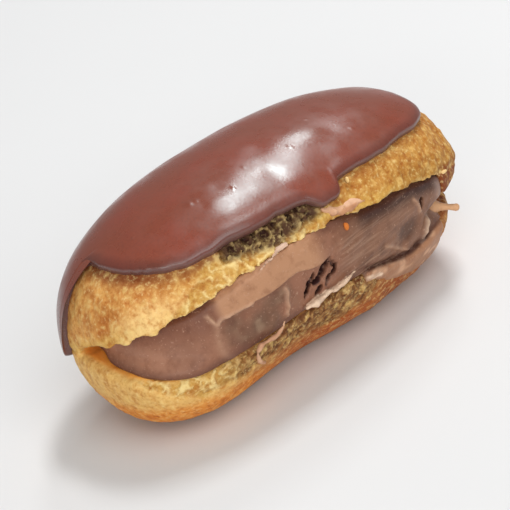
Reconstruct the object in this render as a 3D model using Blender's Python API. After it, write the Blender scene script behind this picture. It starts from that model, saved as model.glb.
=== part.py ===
"""A filled chocolate eclair: one choux bun slit along its front, cream in the slit, icing over the top.

The frame stands on the floor: +X runs along the bun, the slit opens towards -Y and the bun is
uncut along +Y, where it hinges. Lengths are in millimetres until a mesh is made.
"""

import math

import bpy
import numpy as np

MM = 0.001

# Bun, measured from its middle
HALF_LENGTH = 45.0
HALF_WIDTH_LID = 24.2
HALF_WIDTH_BASE = 21.7
LID_RISE = 20.9
LID_SHORTFALL = 1.2  # how far inside the base's -X end the lid's own end lies
BASE_DROP = 24.0  # what the round of the base would reach without its flat underside
UNDERSIDE = 22.0
FLAT_SPOT = 20.7  # the bun rests here, so this is the height of its middle over the floor
BOX_MIDDLE = (0.27, 1.16)  # middle of the whole's box, measured from the bun's own middle
PLAN_POWER_LID = 2.4
PLAN_POWER_BASE = 3.2
SECTION_POWER = 2.2
UNDERSIDE_POWER = 10.0
WAIST = 0.17  # how far the base's front is nipped in, at WAIST_PLACE along its length
WAIST_PLACE = -0.25
WAIST_LENGTH = 0.32
PINCH = 0.145  # how far the +X end is drawn in where lid and base meet, and over which directions
PINCH_PLACE = -0.2
PINCH_HEIGHT = 0.085
PINCH_START = (0.45, 0.8)
FLARE = 0.018  # how far the corners of the lid stand out just above, and over which directions
FLARE_PLACE = 0.04
FLARE_HEIGHT = 0.1
LID_TAPER = 0.034
BASE_TAPER = 0.085
LID_BLEND = 0.15  # how gently the base's form passes into the lid's
END_BLEND = 0.3
TUCK = 0.06  # how far the base's own +X end is drawn in below that, and over which directions
TUCK_PLACE = -0.42
TUCK_HEIGHT = 0.2
TUCK_START = (0.62, 0.88)
PEAK_SCALE = 4.0  # makes the product of two equal shares of a square peak at 1
CORNER_SCALE = 6.75  # makes the flare's fourth power times square peak at 1

# Slit: heights over the bun's middle of its two rims, at stations along X
LID_RIM = (
    (-48, 10.3), (-42, 9.2), (-34, 8.5), (-24, 9.7), (-13, 10.1), (0, 9.5), (13, 7.2), (23, 6.1),
    (34, 3.9), (48, 0.0),
)  # fmt: skip
BASE_RIM = (
    (-48, -3.8), (-42, -4.9), (-36, -5.2), (-24, -3.9), (-10, -2.9), (1, -3.1), (9, -4.0),
    (20, -7.7), (29, -7.6), (38, -5.9), (48, -6.2),
)  # fmt: skip
HINGE_DEPTH = 14.0  # how far behind the middle the slit reaches
HINGE_CURVE = 8.0  # how much less it reaches at the two ends
HINGE_HEIGHT = -3.7
HINGE_FALL = 1.7  # drop of the hinge from the middle to the +X end
HINGE_OPENING = 1.2
RIM_Y = -24.0
SLIT_FRONT_Y = -30.0
SLIT_ENDS = (-48.0, 32.2)  # it runs out through the -X end and stops short of the +X end
BASE_DISH = 2.8
LID_DOME = 3.0
HOLLOW_START = 3.0  # the dish and the dome are full a third of the way from the hinge

# Cream
GAP = 0.3
CREAM_SET_BACK = 0.9
CREAM_ENDS = (-42.2, 44.1)  # before the slit's +X end cuts it off

# Icing: its lower edge as (degrees round the bun from +X towards +Y, height over the bun's middle)
ICING_THICKNESS = 1.1
ICING_EDGE = (
    (0, 12.5), (30, 12.5), (60, 9.5), (90, 5.0), (120, 0.0), (140, -3.4), (150, -4.8), (155, -3.8),
    (156, 1.0), (157, 8.0), (159, 12.6), (168, 14.0), (200, 14.4), (222, 14.3), (240, 15.2),
    (256, 15.1), (268, 14.7), (272.5, 12.9), (279, 12.8), (283, 14.5), (300, 13.8), (316, 12.8),
    (326, 11.5), (338, 11.0), (350, 11.9), (360, 12.5),
)  # fmt: skip

CREASE_DEGREES = 40.0
SLOPE_STEP = 0.01
HULL_RINGS = 28
HULL_SEGMENTS = 40
SLIT_STATIONS = 30
SLIT_STEPS = 9
ICING_SEGMENTS = 72
ICING_ROWS = 9
ICING_RIDGE = 0.6  # length of the icing's middle row as a share of the whole
ICING_FIRST_ROW = 0.07
LIP_ROUND = 0.03
LIP_TURNS = (60.0, 30.0, 0.0)  # degrees round the lip, from its top to its foot
DEEP_ROW_STRIDE = 3  # the rows inside the bun are this much sparser
EDGE_STEP = 0.5  # degrees
SEARCH_SPAN = (0.05, 1.2)
SEARCH_STEPS = 30


def through(stations, x):
    """Height at x on a smooth curve through the stations."""
    xs = [station[0] for station in stations]
    k = min(max(sum(x >= s for s in xs) - 1, 0), len(xs) - 2)
    (x0, z0), (x1, z1) = stations[k], stations[k + 1]
    before = stations[max(k - 1, 0)]
    after = stations[min(k + 2, len(xs) - 1)]
    slope0 = (z1 - before[1]) / (x1 - before[0])
    slope1 = (after[1] - z0) / (after[0] - x0)
    span = x1 - x0
    t = min(max((x - x0) / span, 0.0), 1.0)
    return (
        (2 * t**3 - 3 * t**2 + 1) * z0
        + (t**3 - 2 * t**2 + t) * span * slope0
        + (3 * t**2 - 2 * t**3) * z1
        + (t**3 - t**2) * span * slope1
    )


def swell(value, place, reach):
    """1 at the place, falling to 0 on both sides."""
    return math.exp(-(((value - place) / reach) ** 2))


def fade(value, start, end):
    """0 before the start, 1 past the end, and smooth between them."""
    t = min(max((value - start) / (end - start), 0.0), 1.0)
    return t**2 * (3 - 2 * t)


def hull_measure(x, y, z):
    """1 on the bun's outer surface, and in proportion to the distance from its middle."""
    even = np.array((x / HALF_LENGTH, y / HALF_WIDTH_BASE, z / UNDERSIDE))
    lengthways, across, upward = even / np.linalg.norm(even)
    lid = 0.5 * (1 + upward / math.sqrt(upward**2 + LID_BLEND))
    plan_power = PLAN_POWER_BASE + (PLAN_POWER_LID - PLAN_POWER_BASE) * lid
    taper = 1 - (BASE_TAPER + (LID_TAPER - BASE_TAPER) * lid) * lengthways
    half_width = (HALF_WIDTH_BASE + (HALF_WIDTH_LID - HALF_WIDTH_BASE) * lid) * taper
    rise = (LID_RISE if z > 0 else BASE_DROP) * taper
    section = abs(y / half_width) ** SECTION_POWER + abs(z / rise) ** SECTION_POWER
    far_end = 0.5 * (1 - lengthways / math.hypot(lengthways, END_BLEND))
    plan = abs(x / (HALF_LENGTH - LID_SHORTFALL * lid * far_end)) ** plan_power
    whole = (plan + section ** (plan_power / SECTION_POWER)) ** (1 / plan_power)
    under_front = PEAK_SCALE * min(across, 0.0) ** 2 * min(upward, 0.0) ** 2
    whole *= 1 + WAIST * under_front * swell(lengthways, WAIST_PLACE, WAIST_LENGTH)
    pinch = PINCH * fade(lengthways, *PINCH_START) * swell(upward, PINCH_PLACE, PINCH_HEIGHT)
    tuck = TUCK * fade(lengthways, *TUCK_START) * swell(upward, TUCK_PLACE, TUCK_HEIGHT)
    corner = CORNER_SCALE * max(lengthways, 0.0) ** 4 * across**2
    flare = FLARE * corner * swell(upward, FLARE_PLACE, FLARE_HEIGHT)
    whole *= 1 + pinch + tuck - flare
    below = max(-z, 0.0) / UNDERSIDE
    return (whole**UNDERSIDE_POWER + below**UNDERSIDE_POWER) ** (1 / UNDERSIDE_POWER)


def hull_point(direction, proud=0.0):
    """Where a ray from the bun's middle leaves it, moved out along the surface's normal."""
    point = np.array(direction) / hull_measure(*direction)
    shifts = np.eye(3) * SLOPE_STEP
    slope = np.array([hull_measure(*(point + s)) - hull_measure(*(point - s)) for s in shifts])
    return point + proud * slope / np.linalg.norm(slope)


def to_floor(point):
    """The point, in metres, from under the middle of the whole's box, and never below the floor."""
    x, y, z = point
    return ((x - BOX_MIDDLE[0]) * MM, (y - BOX_MIDDLE[1]) * MM, max(z + FLAT_SPOT, 0.0) * MM)


def hinge_y(x):
    return HINGE_DEPTH - HINGE_CURVE * (x / HALF_LENGTH) ** 2


def slit_height(x, y, side):
    """Height of the slit's upper (side 1) or lower (side -1) face."""
    hinge = HINGE_HEIGHT - HINGE_FALL * x / HALF_LENGTH
    reach = (hinge_y(x) - y) / (hinge_y(x) - RIM_Y)
    rim = through(LID_RIM if side > 0 else BASE_RIM, x)
    inside = max(1 - abs(x / HALF_LENGTH) ** PLAN_POWER_LID - (y / HALF_WIDTH_LID) ** 2, 0.0)
    hollow = (LID_DOME if side > 0 else -BASE_DISH) * inside * min(HOLLOW_START * reach, 1.0)
    return hinge + side * HINGE_OPENING / 2 + (rim - hinge) * reach + hollow


def mesh_object(name, points, faces, material=None):
    mesh = bpy.data.meshes.new(name)
    mesh.from_pydata([to_floor(point) for point in points], [], faces)
    mesh.validate()
    mesh.shade_smooth()
    obj = bpy.data.objects.new(name, mesh)
    bpy.context.scene.collection.objects.link(obj)
    if material:
        mesh.materials.append(material)
        mesh.set_sharp_from_angle(angle=math.radians(CREASE_DEGREES))
    else:
        obj.hide_render = True
        obj.display_type = "WIRE"
    return obj


def make_material(name, colour, roughness):
    material = bpy.data.materials.new(name)
    material.use_nodes = True
    shader = material.node_tree.nodes["Principled BSDF"]
    shader.inputs["Base Color"].default_value = (*colour, 1.0)
    shader.inputs["Roughness"].default_value = roughness
    shader.inputs["Metallic"].default_value = 0.0
    return material


def rings_to_faces(rings, segments):
    """Quads between rings of points, each ring closed round."""
    faces = []
    for ring in range(rings - 1):
        for k in range(segments):
            a, b = ring * segments + k, ring * segments + (k + 1) % segments
            faces.append((a, b, b + segments, a + segments))
    return faces


def hull_body(ends, set_back):
    """Points and faces of the bun's outer form, set back and brought to these ends along X."""
    points = []
    for ring in range(1, HULL_RINGS):
        along = math.pi * ring / HULL_RINGS
        for k in range(HULL_SEGMENTS):
            turn = 2 * math.pi * k / HULL_SEGMENTS
            direction = (
                HALF_LENGTH * math.cos(along),
                HALF_WIDTH_BASE * math.sin(along) * math.cos(turn),
                UNDERSIDE * math.sin(along) * math.sin(turn),
            )
            points.append(hull_point(direction, -set_back))
    faces = [face[::-1] for face in rings_to_faces(HULL_RINGS - 1, HULL_SEGMENTS)]
    for pole, ring in ((1, 0), (-1, HULL_RINGS - 2)):
        tip = len(points)
        points.append(hull_point((pole * HALF_LENGTH, 0.0, 0.0), -set_back))
        for k in range(HULL_SEGMENTS):
            pair = (ring * HULL_SEGMENTS + k, ring * HULL_SEGMENTS + (k + 1) % HULL_SEGMENTS)
            faces.append((*pair[::pole], tip))
    low, high = (end / (HALF_LENGTH - set_back) for end in ends)
    return [(x * (high if x > 0 else -low), y, z) for x, y, z in points], faces


def slit_body(inset):
    """Points and faces of the wedge between the slit's two faces, kept clear of them by inset."""
    points = []
    start, end = SLIT_ENDS[0], SLIT_ENDS[1] - inset
    for station in range(SLIT_STATIONS + 1):
        swing = math.sin(math.pi * (station / SLIT_STATIONS - 0.5))
        x = (start + end) / 2 + (end - start) / 2 * swing
        back = hinge_y(x) - (HINGE_OPENING + inset if inset else 0.0)
        ys = [back + (SLIT_FRONT_Y - back) * step / SLIT_STEPS for step in range(SLIT_STEPS + 1)]
        points += [(x, y, slit_height(x, y, -1) + inset) for y in ys]
        points += [(x, y, slit_height(x, y, 1) - inset) for y in reversed(ys)]
    loop = 2 * (SLIT_STEPS + 1)
    faces = [face[::-1] for face in rings_to_faces(SLIT_STATIONS + 1, loop)]
    last = SLIT_STATIONS * loop
    faces.append(tuple(range(loop)))
    faces.append(tuple(reversed(range(last, last + loop))))
    return points, faces


def boolean(obj, operation, other):
    modifier = obj.modifiers.new(operation.title(), "BOOLEAN")
    modifier.operation = operation
    modifier.solver = "EXACT"
    modifier.object = other


def icing_edge():
    """Points of the icing's lower edge, evenly spaced along its back half and its front half."""
    fine = []
    for degrees in np.arange(0.0, 360.0 + EDGE_STEP, EDGE_STEP):
        turn = math.radians(degrees)
        height = through(ICING_EDGE, degrees)
        flat = (HALF_LENGTH * math.cos(turn), HALF_WIDTH_LID * math.sin(turn))
        low, high = SEARCH_SPAN
        for _ in range(SEARCH_STEPS):
            middle = (low + high) / 2
            outside = hull_measure(flat[0] * middle, flat[1] * middle, height) > 1
            low, high = (low, middle) if outside else (middle, high)
        fine.append((flat[0] * low, flat[1] * low, height))
    fine = np.array(fine)
    run = np.cumsum(np.linalg.norm(np.diff(fine, axis=0, prepend=fine[:1]), axis=1))
    half = run[len(run) // 2]
    count = ICING_SEGMENTS // 2
    back = np.linspace(0.0, half, count, endpoint=False)
    front = np.linspace(half, run[-1], count, endpoint=False)
    even = np.concatenate([back, front])
    return np.stack([np.interp(even, run, fine[:, axis]) for axis in range(3)], axis=1)


def closed_loop(first, count):
    """Faces across a slim loop of points whose back half faces its front half."""
    half = count // 2
    faces = [(0, 1, count - 1), (half - 1, half, half + 1)]
    faces += [(k, k + 1, count - k - 1, count - k) for k in range(1, half - 1)]
    return [tuple(first + k for k in face) for face in faces]


def icing_body():
    """Points and faces of the icing, in rows from a ridge along the top out to its edge.

    The outer rows come first, then the rounded lip, and then deeper rows inside the bun, which
    the icing's bed cuts away.
    """
    edge = icing_edge()
    ridge = edge * np.array((ICING_RIDGE, 0, 0)) + np.array((0, 0, LID_RISE))
    parts = np.sin(np.linspace(ICING_FIRST_ROW, 1.0, ICING_ROWS) * math.pi / 2)
    proud = GAP + ICING_THICKNESS
    rows = [(part, proud) for part in parts]
    for turn in np.radians(LIP_TURNS):
        rows.append((1 + LIP_ROUND * math.cos(turn), proud - ICING_THICKNESS * (1 - math.sin(turn))))
    rows += [(part, -ICING_THICKNESS) for part in (1.0, *parts[-DEEP_ROW_STRIDE::-DEEP_ROW_STRIDE])]
    points = [
        hull_point(top + (low - top) * part, height)
        for part, height in rows
        for top, low in zip(ridge, edge)
    ]
    faces = [face[::-1] for face in rings_to_faces(len(rows), ICING_SEGMENTS)]
    faces += closed_loop(0, ICING_SEGMENTS)
    last = len(points) - ICING_SEGMENTS
    faces += [face[::-1] for face in closed_loop(last, ICING_SEGMENTS)]
    return points, faces


def main():
    for obj in list(bpy.data.objects):
        bpy.data.objects.remove(obj, do_unlink=True)

    crust = make_material("baked_choux", (0.60, 0.34, 0.10), 0.6)
    cream = make_material("chocolate_cream", (0.28, 0.15, 0.10), 0.5)
    icing = make_material("chocolate_icing", (0.17, 0.06, 0.04), 0.25)

    slit = mesh_object("slit_cutter", *slit_body(0.0))
    bun = mesh_object("choux_bun", *hull_body((-HALF_LENGTH, HALF_LENGTH), 0.0), crust)
    boolean(bun, "DIFFERENCE", slit)

    envelope = mesh_object("cream_envelope", *hull_body(CREAM_ENDS, CREAM_SET_BACK))
    filling = mesh_object("cream_filling", *slit_body(GAP), cream)
    boolean(filling, "INTERSECT", envelope)

    bed_ends = (-HALF_LENGTH - GAP, HALF_LENGTH + GAP)
    bed = mesh_object("icing_bed", *hull_body(bed_ends, -GAP))
    coat = mesh_object("chocolate_icing", *icing_body(), icing)
    boolean(coat, "DIFFERENCE", bed)


main()
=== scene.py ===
"""Looks of a filled chocolate eclair: baked choux, torn crumb, soft cream and glossy icing.

The frame's solids give size and place. Each piece here has its solid's form, worked out from the
same named values, with the relief and colour that the solid leaves out. Lengths are in millimetres
from the bun's middle until a mesh is made: +X along the bun, the slit opens towards -Y.
"""

import math
from itertools import product

import bpy
import numpy as np
from mathutils import Matrix, Vector


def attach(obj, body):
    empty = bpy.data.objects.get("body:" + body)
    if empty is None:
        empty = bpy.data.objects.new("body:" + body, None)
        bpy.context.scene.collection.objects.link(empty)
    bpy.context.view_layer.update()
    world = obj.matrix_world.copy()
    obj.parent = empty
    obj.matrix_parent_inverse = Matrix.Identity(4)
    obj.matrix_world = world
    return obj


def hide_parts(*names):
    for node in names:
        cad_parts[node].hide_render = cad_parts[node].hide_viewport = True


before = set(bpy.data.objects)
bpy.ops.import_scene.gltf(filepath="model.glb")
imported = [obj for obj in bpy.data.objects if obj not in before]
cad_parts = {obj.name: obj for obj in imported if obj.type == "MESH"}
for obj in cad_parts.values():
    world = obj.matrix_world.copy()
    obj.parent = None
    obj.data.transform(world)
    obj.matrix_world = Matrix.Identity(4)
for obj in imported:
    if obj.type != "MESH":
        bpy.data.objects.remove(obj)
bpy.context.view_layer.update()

MM = 0.001

# Bun, measured from its middle
HALF_LENGTH = 45.0
HALF_WIDTH_LID = 24.2
HALF_WIDTH_BASE = 21.7
LID_RISE = 20.9
LID_SHORTFALL = 1.2
BASE_DROP = 24.0
UNDERSIDE = 22.0
FLAT_SPOT = 20.7
BOX_MIDDLE = (0.27, 1.16)
ORIGIN = (*BOX_MIDDLE, -FLAT_SPOT)  # the frame's own, under the middle of the whole's box
PLAN_POWER_LID = 2.4
PLAN_POWER_BASE = 3.2
SECTION_POWER = 2.2
UNDERSIDE_POWER = 10.0
WAIST = 0.17
WAIST_PLACE = -0.25
WAIST_LENGTH = 0.32
PINCH = 0.145
PINCH_PLACE = -0.2
PINCH_HEIGHT = 0.085
PINCH_START = (0.45, 0.8)
TUCK = 0.06
TUCK_PLACE = -0.42
TUCK_HEIGHT = 0.2
TUCK_START = (0.62, 0.88)
FLARE = 0.018
FLARE_PLACE = 0.04
FLARE_HEIGHT = 0.1
LID_TAPER = 0.034
BASE_TAPER = 0.085
LID_BLEND = 0.15
END_BLEND = 0.3
PEAK_SCALE = 4.0  # makes the product of two equal shares of a square peak at 1
CORNER_SCALE = 6.75  # makes the flare's fourth power times square peak at 1

# Slit
LID_RIM = (
    (-48, 10.3), (-42, 9.2), (-34, 8.5), (-24, 9.7), (-13, 10.1), (0, 9.5), (13, 7.2), (23, 6.1),
    (34, 3.9), (48, 0.0),
)
BASE_RIM = (
    (-48, -3.8), (-42, -4.9), (-36, -5.2), (-24, -3.9), (-10, -2.9), (1, -3.1), (9, -4.0),
    (20, -7.7), (29, -7.6), (38, -5.9), (48, -6.2),
)
SLIT_END = 32.2
HINGE_DEPTH = 14.0
HINGE_CURVE = 8.0
HINGE_HEIGHT = -3.7
HINGE_FALL = 1.7
HINGE_OPENING = 1.2
RIM_Y = -24.0
BASE_DISH = 2.8
LID_DOME = 3.0
HOLLOW_START = 3.0  # the dish and the dome are full a third of the way from the hinge

# Cream
CREAM_SET_BACK = 0.9
CREAM_ENDS = (-42.2, 44.1)
CREAM_BITE = 0.15  # how far the cream reaches into the choux, so that no gap shows

# Icing: its lower edge as (degrees round the bun from +X towards +Y, height over the bun's middle)
ICING_LIFT = 0.3
ICING_THICKNESS = 1.1
ICING_EDGE = (
    (0, 12.5), (30, 12.5), (60, 9.5), (90, 5.0), (120, 0.0), (140, -3.4), (150, -4.8), (155, -3.8),
    (156, 1.0), (157, 8.0), (159, 12.6), (168, 14.0), (200, 14.4), (222, 14.3), (240, 15.2),
    (256, 15.1), (268, 14.7), (272.5, 12.9), (279, 12.8), (283, 14.5), (300, 13.8), (316, 12.8),
    (326, 11.5), (338, 11.0), (350, 11.9), (360, 12.5),
)

# Fineness of the meshes
ICING_COLUMNS = 900
ICING_ROWS = 70
BUN_GRID = 0.38
CREAM_GRID = 0.34
CRUMB_GRID = 0.12
BUN_TRIANGLES = 190000
CREAM_TRIANGLES = 120000


# ---- shape of the bun


def through(stations, x):
    """Heights at x on a smooth curve through the stations."""
    xs, zs = np.array(stations, dtype=float).T
    last = len(xs) - 1
    order = np.arange(last + 1)
    before, after = np.maximum(order - 1, 0), np.minimum(order + 1, last)
    slopes = (zs[after] - zs[before]) / (xs[after] - xs[before])
    k = np.clip(np.searchsorted(xs, x, side="right") - 1, 0, last - 1)
    span = xs[k + 1] - xs[k]
    t = np.clip((x - xs[k]) / span, 0.0, 1.0)
    return (
        (2 * t**3 - 3 * t**2 + 1) * zs[k]
        + (t**3 - 2 * t**2 + t) * span * slopes[k]
        + (3 * t**2 - 2 * t**3) * zs[k + 1]
        + (t**3 - t**2) * span * slopes[k + 1]
    )


def hull_measure(points):
    """1 on the bun's outer surface, and in proportion to the distance from its middle."""
    x, y, z = points.T
    even = points / (HALF_LENGTH, HALF_WIDTH_BASE, UNDERSIDE)
    size = np.maximum(np.linalg.norm(even, axis=1, keepdims=True), 1e-6)
    lengthways, across, upward = (even / size).T
    lid = 0.5 * (1 + upward / np.sqrt(upward**2 + LID_BLEND))
    plan_power = PLAN_POWER_BASE + (PLAN_POWER_LID - PLAN_POWER_BASE) * lid
    taper = 1 - (BASE_TAPER + (LID_TAPER - BASE_TAPER) * lid) * lengthways
    half_width = (HALF_WIDTH_BASE + (HALF_WIDTH_LID - HALF_WIDTH_BASE) * lid) * taper
    rise = np.where(z > 0, LID_RISE, BASE_DROP) * taper
    section = np.abs(y / half_width) ** SECTION_POWER + np.abs(z / rise) ** SECTION_POWER
    inward = 0.5 * (1 - lengthways / np.hypot(lengthways, END_BLEND))
    plan = np.abs(x / (HALF_LENGTH - LID_SHORTFALL * lid * inward)) ** plan_power
    whole = (plan + section ** (plan_power / SECTION_POWER)) ** (1 / plan_power)
    under_front = PEAK_SCALE * np.minimum(across, 0.0) ** 2 * np.minimum(upward, 0.0) ** 2
    whole *= 1 + WAIST * under_front * hump(lengthways, WAIST_PLACE, WAIST_LENGTH)
    pinch = PINCH * fade(lengthways, *PINCH_START) * hump(upward, PINCH_PLACE, PINCH_HEIGHT)
    tuck = TUCK * fade(lengthways, *TUCK_START) * hump(upward, TUCK_PLACE, TUCK_HEIGHT)
    corner = CORNER_SCALE * np.maximum(lengthways, 0.0) ** 4 * across**2
    flare = FLARE * corner * hump(upward, FLARE_PLACE, FLARE_HEIGHT)
    whole *= 1 + pinch + tuck - flare
    below = np.maximum(-z, 0.0) / UNDERSIDE
    return (whole**UNDERSIDE_POWER + below**UNDERSIDE_POWER) ** (1 / UNDERSIDE_POWER)


def hull_slope(points):
    """How fast the measure grows along X, Y and Z."""
    step = 0.05
    ways = np.eye(3) * step
    return np.stack([hull_measure(points + w) - hull_measure(points - w) for w in ways], 1) / (2 * step)


def hull_height(points):
    """Height over the bun's outer surface, negative inside."""
    steepness = np.linalg.norm(hull_slope(points), axis=1)
    return (hull_measure(points) - 1) / np.maximum(steepness, 1e-3)


def hull_point(directions, proud):
    """Where rays from the bun's middle leave it, moved out along the surface's normal."""
    points = directions / hull_measure(directions)[:, None]
    normals = hull_slope(points)
    normals /= np.linalg.norm(normals, axis=1, keepdims=True)
    return points + normals * np.reshape(proud, (-1, 1))


def hinge_y(x):
    """How far back the slit reaches."""
    return HINGE_DEPTH - HINGE_CURVE * (x / HALF_LENGTH) ** 2


def slit_height(x, y, side):
    """Height of the slit's upper (side 1) or lower (side -1) face."""
    hinge = HINGE_HEIGHT - HINGE_FALL * x / HALF_LENGTH
    reach = (hinge_y(x) - y) / (hinge_y(x) - RIM_Y)
    rim = through(LID_RIM if side > 0 else BASE_RIM, x)
    inside = np.maximum(1 - np.abs(x / HALF_LENGTH) ** PLAN_POWER_LID - (y / HALF_WIDTH_LID) ** 2, 0)
    hollow = (LID_DOME if side > 0 else -BASE_DISH) * inside * np.minimum(HOLLOW_START * reach, 1.0)
    return hinge + side * HINGE_OPENING / 2 + (rim - hinge) * reach + hollow


def icing_edge_height(x, y):
    """Height of the icing's lower edge on the side of the bun that faces this way."""
    turn = np.degrees(np.arctan2(y / HALF_WIDTH_LID, x / HALF_LENGTH)) % 360
    return through(ICING_EDGE, turn)


# ---- relief


def lattice(cells, seed):
    """A repeatable number from 0 to 1 for each whole-number cell."""
    mask = 0xFFFFFFFF
    key = (seed + 1) * 2654435761
    for axis, prime in enumerate((73856093, 19349663, 83492791)):
        key = key ^ (cells[:, axis] * prime)
    key = key & mask
    for _ in range(2):
        key = ((key >> 16) ^ key) * 0x45D9F3B & mask
    return ((key >> 16) ^ key) / mask


def noise(points, size, seed):
    """Smooth noise from -1 to 1 with lumps of about this size."""
    place = points / size + 0.37 * seed
    cell = np.floor(place).astype(np.int64)
    t = place - cell
    t = t * t * (3 - 2 * t)
    total = np.zeros(len(points))
    for corner in product((0, 1), repeat=3):
        share = np.where(corner, t, 1 - t)
        total += share[:, 0] * share[:, 1] * share[:, 2] * lattice(cell + corner, seed)
    return 2 * total - 1


def drift(points, size, seed):
    """Smooth noise along X, Y and Z."""
    return np.stack([noise(points, size, seed + k) for k in range(3)], 1)


def fade(value, start, end):
    """0 at start, 1 at end, smooth between."""
    t = np.clip((value - start) / (end - start), 0.0, 1.0)
    return t * t * (3 - 2 * t)


def hump(value, middle, half):
    """1 at the middle, falling smoothly towards 0 past the half width."""
    return np.exp(-(((value - middle) / half) ** 2))


def oval(points, place, power=4):
    """1 in an oval on the front, falling to 0 outside. Its place is its middle and half sizes."""
    x, z, half_x, half_z = place
    return np.exp(-(((points[:, 0] - x) / half_x) ** power) - ((points[:, 2] - z) / half_z) ** power)


def smooth_max(a, b, width):
    """The larger of two, rounded where they are alike."""
    near = np.maximum(width - np.abs(a - b), 0.0)
    return np.maximum(a, b) + near**2 / (4 * np.maximum(width, 1e-6))


def smooth_run(run, steps=4):
    """The run's corners joined by a curve, as many short stretches."""
    corners = np.array(run, dtype=float)
    first, last = 2 * corners[0] - corners[1], 2 * corners[-1] - corners[-2]
    padded = np.vstack([first, corners, last])
    t = np.arange(steps)[:, None] / steps
    parts = []
    for a, b, c, d in zip(padded, padded[1:], padded[2:], padded[3:]):
        bend = 2 * a - 5 * b + 4 * c - d + t * (3 * b - a - 3 * c + d)
        parts.append(b + 0.5 * t * (c - a + t * bend))
    return np.vstack([*parts, corners[-1]])


def run_distance(u, v, run):
    """Distance in the u, v plane to a run of straight stretches, and the share of it gone."""
    corners = np.array(run, dtype=float)
    legs = np.diff(corners, axis=0)
    lengths = np.linalg.norm(legs, axis=1)
    gone = np.concatenate([[0.0], np.cumsum(lengths)])
    nearest, share = np.full(len(u), np.inf), np.zeros(len(u))
    for start, leg, length, before in zip(corners, legs, lengths, gone):
        t = np.clip(((u - start[0]) * leg[0] + (v - start[1]) * leg[1]) / length**2, 0.0, 1.0)
        away = np.hypot(u - start[0] - t * leg[0], v - start[1] - t * leg[1])
        share = np.where(away < nearest, (before + t * length) / gone[-1], share)
        nearest = np.minimum(nearest, away)
    return nearest, share


# ---- meshing


def sampled(field, axes, step):
    """The field on a grid: exact near its surface, and from a coarser grid elsewhere."""
    stride = 4
    coarse = np.stack(np.meshgrid(*(axis[::stride] for axis in axes), indexing="ij"), -1)
    values = field(coarse.reshape(-1, 3)).reshape(coarse.shape[:3])
    for k, axis in enumerate(axes):
        values = np.repeat(values, stride, axis=k)
        nearest = np.minimum(np.arange(len(axis)) + stride // 2, values.shape[k] - 1)
        values = np.take(values, nearest, k)
    near = np.nonzero(np.abs(values) < stride * step * 1.9 + 1.0)
    values[near] = field(np.stack([axis[k] for axis, k in zip(axes, near)], 1))
    return values


def cell_points(values, crossed, axes):
    """For each crossed cell, the middle of the places where its edges meet the surface."""
    total, hits = np.zeros((len(crossed), 3)), np.zeros(len(crossed))
    for axis, along in enumerate(np.eye(3, dtype=int)):
        for corner in product((0, 1), repeat=3):
            if corner[axis]:
                continue
            start = crossed + corner
            a, b = values[tuple(start.T)], values[tuple((start + along).T)]
            crosses = (a < 0) != (b < 0)
            t = np.where(crosses, a / np.where(crosses, a - b, 1.0), 0.0)
            total += np.where(crosses[:, None], start + t[:, None] * along, 0.0)
            hits += crosses
    middles = (total / hits[:, None]).T
    return np.stack([np.interp(m, np.arange(len(axis)), axis) for m, axis in zip(middles, axes)], 1)


def cell_quads(inside, number):
    """A quad round each grid edge that the surface crosses, between the four cells there."""
    quads = []
    steps = np.eye(3, dtype=int)
    for axis in range(3):
        side_a, side_b = steps[(axis + 1) % 3], steps[(axis + 2) % 3]
        first = [int(k != axis) for k in range(3)]
        here = tuple(slice(f, n) for f, n in zip(first, number.shape))
        ahead = tuple(slice(1, n + (k == axis)) for k, n in enumerate(number.shape))
        leaving = inside[here] & ~inside[ahead]
        entering = ~inside[here] & inside[ahead]
        for flags, forward in ((leaving, True), (entering, False)):
            start = np.argwhere(flags) + first
            loop = [start, start - side_a, start - side_a - side_b, start - side_b]
            quad = np.stack([number[tuple(cell.T)] for cell in loop], 1)
            quads.append(quad if forward else quad[:, ::-1])
    return np.concatenate(quads)


def settled(field, points, step):
    """The points brought onto the surface, by at most half a grid step at a time."""
    nudge = 0.04
    for _ in range(2):
        here = field(points)
        steep = np.stack([field(points + s) - here for s in np.eye(3) * nudge], 1) / nudge
        move = -here[:, None] * steep / np.maximum((steep**2).sum(1), 0.3)[:, None]
        size = np.linalg.norm(move, axis=1, keepdims=True)
        points = points + move * np.minimum(1.0, 0.5 * step / np.maximum(size, 1e-9))
    return points


def surface_net(field, low, high, step):
    """Points and quads of the surface where the field passes through zero, negative inside."""
    axes = [np.linspace(a, b, int(round((b - a) / step)) + 1) for a, b in zip(low, high)]
    values = sampled(field, axes, step)
    inside = values < 0
    cells = tuple(size - 1 for size in values.shape)
    count = np.zeros(cells, dtype=int)
    for corner in product((0, 1), repeat=3):
        count += inside[tuple(slice(c, c + n) for c, n in zip(corner, cells))]
    crossed = np.argwhere((count > 0) & (count < 8))
    number = np.full(cells, -1)
    number[tuple(crossed.T)] = np.arange(len(crossed))
    points = cell_points(values, crossed, axes)
    return settled(field, points, step), cell_quads(inside, number)


def to_floor(points):
    """The points in metres from the frame's origin, never below the floor."""
    placed = points - ORIGIN
    placed[:, 2] = np.maximum(placed[:, 2], 0.0)
    return placed * MM


def from_floor(points):
    """The points in millimetres from the bun's middle."""
    return points / MM + ORIGIN


def new_object(name, data):
    obj = bpy.data.objects.new(name, data)
    bpy.context.scene.collection.objects.link(obj)
    return obj


def new_mesh(name, points, faces, material):
    mesh = bpy.data.meshes.new(name)
    mesh.from_pydata(points, [], faces)
    mesh.materials.append(material)
    return new_object(name, mesh)


def piece(name, points, faces, material):
    """A smooth mesh object made of points in millimetres."""
    obj = new_mesh(name, to_floor(points).tolist(), faces, material)
    obj.data.shade_smooth()
    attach(obj, "root")
    return obj


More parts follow.
